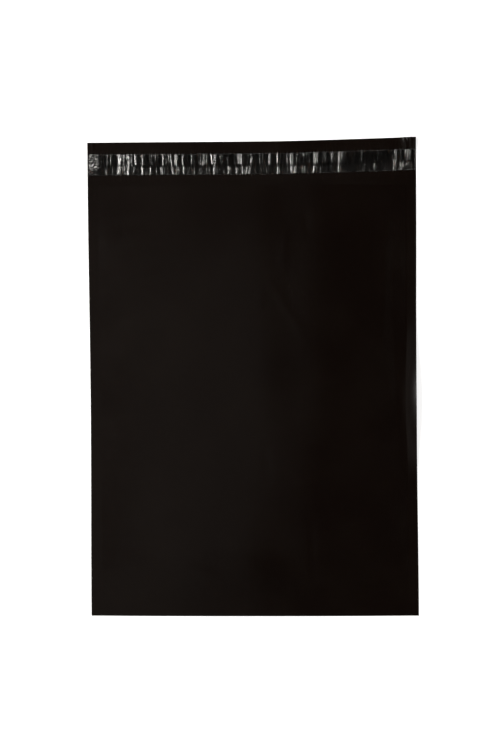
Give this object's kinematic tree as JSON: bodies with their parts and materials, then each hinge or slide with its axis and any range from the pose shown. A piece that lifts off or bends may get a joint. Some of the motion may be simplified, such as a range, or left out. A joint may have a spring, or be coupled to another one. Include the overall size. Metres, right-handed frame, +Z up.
{
  "type": "poly mailer bag",
  "caption": "Flat black film mailing bag with welded sides, a folded bottom, an open mouth and a lip whose glue band is covered by a puckered clear liner.",
  "frame": {"origin": "on the surface the bag lies on, under the middle of its outline; the back ply's outer face is at z = 0", "axes": "+Z up out of the front ply, +Y along the bag from the bottom fold to the lip, +X to the right as seen from above"},
  "size_m": [0.254, 0.3717, 0.0068],
  "materials": {
    "black_film": "satin polyethylene film",
    "hot_melt_glue": "clear tacky bead",
    "clear_liner": "clear glossy film"
  },
  "bodies": {
    "root": {"film_pouch": "black_film", "adhesive_strip": "hot_melt_glue", "release_liner": "clear_liner"}
  },
  "joints": []
}
